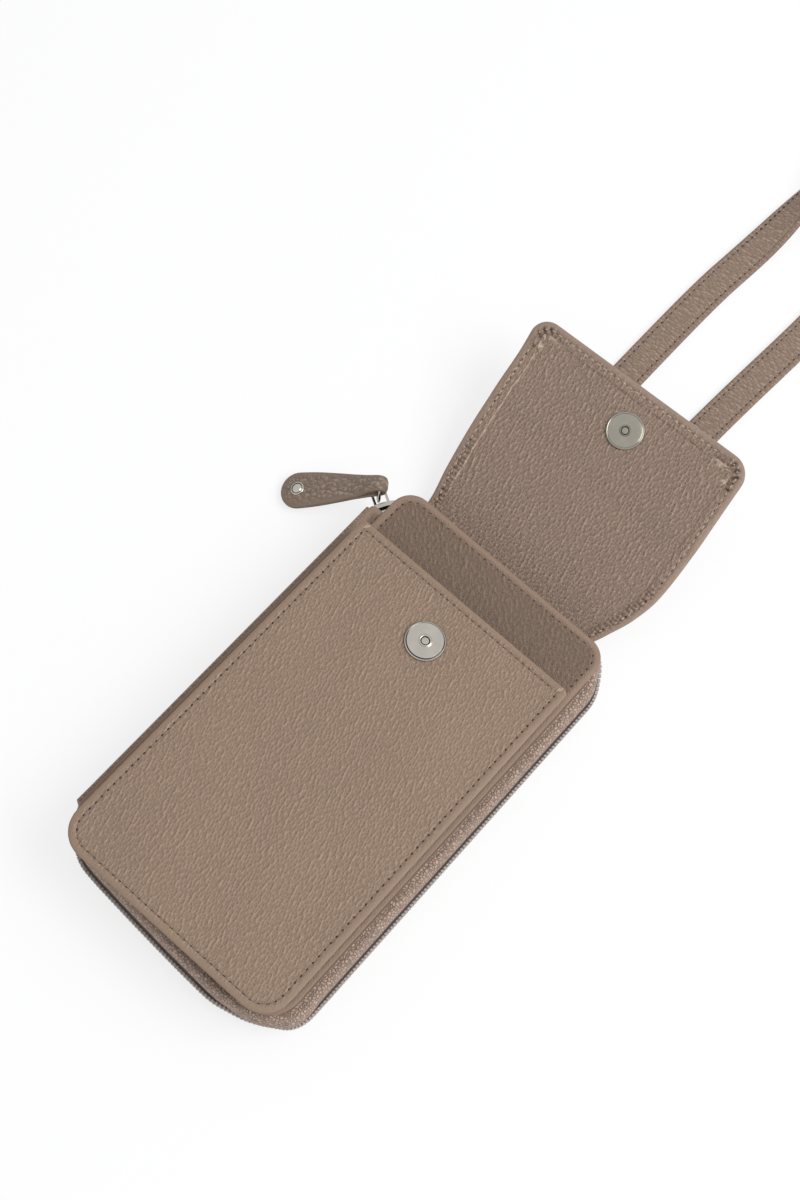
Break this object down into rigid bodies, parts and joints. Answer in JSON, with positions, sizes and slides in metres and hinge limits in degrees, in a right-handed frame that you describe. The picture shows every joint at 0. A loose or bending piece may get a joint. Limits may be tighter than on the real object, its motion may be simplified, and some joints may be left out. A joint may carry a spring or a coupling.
{
  "type": "phone pouch",
  "caption": "Slim taupe leather crossbody pouch with a zip-around case, an open front pocket, a snap-down flap, a nickel snap, a leather zip pull and a narrow shoulder strap.",
  "frame": {"origin": "middle of the rear cover's outer face", "axes": "+X to the zip side, away from the spine; +Y to the top, where the strap and flap are; +Z out of the front, with the pouch lying on its back"},
  "size_m": [0.1817, 0.7201, 0.0407],
  "materials": {
    "taupe_leather": "pebbled taupe leather, soft sheen",
    "strap_leather": "folded taupe leather with a finer grain",
    "lining_cloth": "woven lining cloth",
    "zip_tape": "woven zip tape",
    "zip_teeth": "moulded coil teeth, satin",
    "nickel": "polished nickel",
    "washer_steel": "plain steel"
  },
  "bodies": {
    "case": {"rear_cover": "taupe_leather", "rear_lining": "lining_cloth", "spine": "taupe_leather", "rear_gusset": "taupe_leather", "rear_zip_tape": "zip_tape", "rear_zip_teeth": "zip_teeth", "seam_welt": "taupe_leather", "flap_root": "taupe_leather", "strap_left": "strap_leather", "strap_right": "strap_leather", "strap_loop": "strap_leather"},
    "leaf": {"front_cover": "taupe_leather", "front_lining": "lining_cloth", "front_gusset": "taupe_leather", "front_zip_tape": "zip_tape", "front_zip_teeth": "zip_teeth", "pocket_back": "taupe_leather", "pocket_wall": "taupe_leather", "pocket_front": "taupe_leather", "pocket_lining": "lining_cloth", "pocket_snap": "nickel", "pocket_snap_washer": "washer_steel"},
    "neck": {"flap_neck": "taupe_leather"},
    "bridge": {"flap_bridge": "taupe_leather"},
    "panel": {"flap_panel": "taupe_leather", "flap_facing": "taupe_leather", "flap_snap": "nickel", "flap_snap_washer": "washer_steel"},
    "slider": {"zip_slider": "nickel"},
    "ring": {"pull_ring": "nickel"},
    "pull": {"zip_pull": "strap_leather", "pull_rivet": "nickel"}
  },
  "joints": [
    {"name": "flap_fold", "type": "hinge", "parent": "case", "child": "neck", "pos_m": [-0.003, 0.1062, 0.0055], "axis": [-1, 0, 0], "range_deg": [-70, 0]},
    {"name": "shoulder_fold", "type": "hinge", "parent": "neck", "child": "bridge", "pos_m": [-0.003, 0.1312, 0.0146], "axis": [-1, 0, 0], "range_deg": [-72, 0]},
    {"name": "mouth_fold", "type": "hinge", "parent": "bridge", "child": "panel", "pos_m": [-0.003, 0.16183, 0.02575], "axis": [-1, 0, 0], "range_deg": [-18.1, 0]},
    {"name": "front_opening", "type": "hinge", "parent": "case", "child": "leaf", "pos_m": [-0.0606, 0, 0.0243], "axis": [0, -1, 0], "range_deg": [0, 100]},
    {"name": "slider_run", "type": "hinge", "parent": "case", "child": "slider", "pos_m": [-0.042, 0.084, 0.013], "axis": [0, 0, -1], "range_deg": [0, 42]},
    {"name": "ring_swing", "type": "hinge", "parent": "slider", "child": "ring", "pos_m": [-0.06577, 0.09773, 0.013], "axis": [0, 0, 1], "range_deg": [0, 30]},
    {"name": "pull_lift", "type": "hinge", "parent": "ring", "child": "pull", "pos_m": [-0.06577, 0.09773, 0.02091], "axis": [-0.6652, 0.7466, 0], "range_deg": [0, 40]}
  ],
  "couplings": [
    {"joint": "shoulder_fold", "follows": "flap_fold", "ratio": 1.0279},
    {"joint": "mouth_fold", "follows": "flap_fold", "ratio": 0.25786}
  ]
}
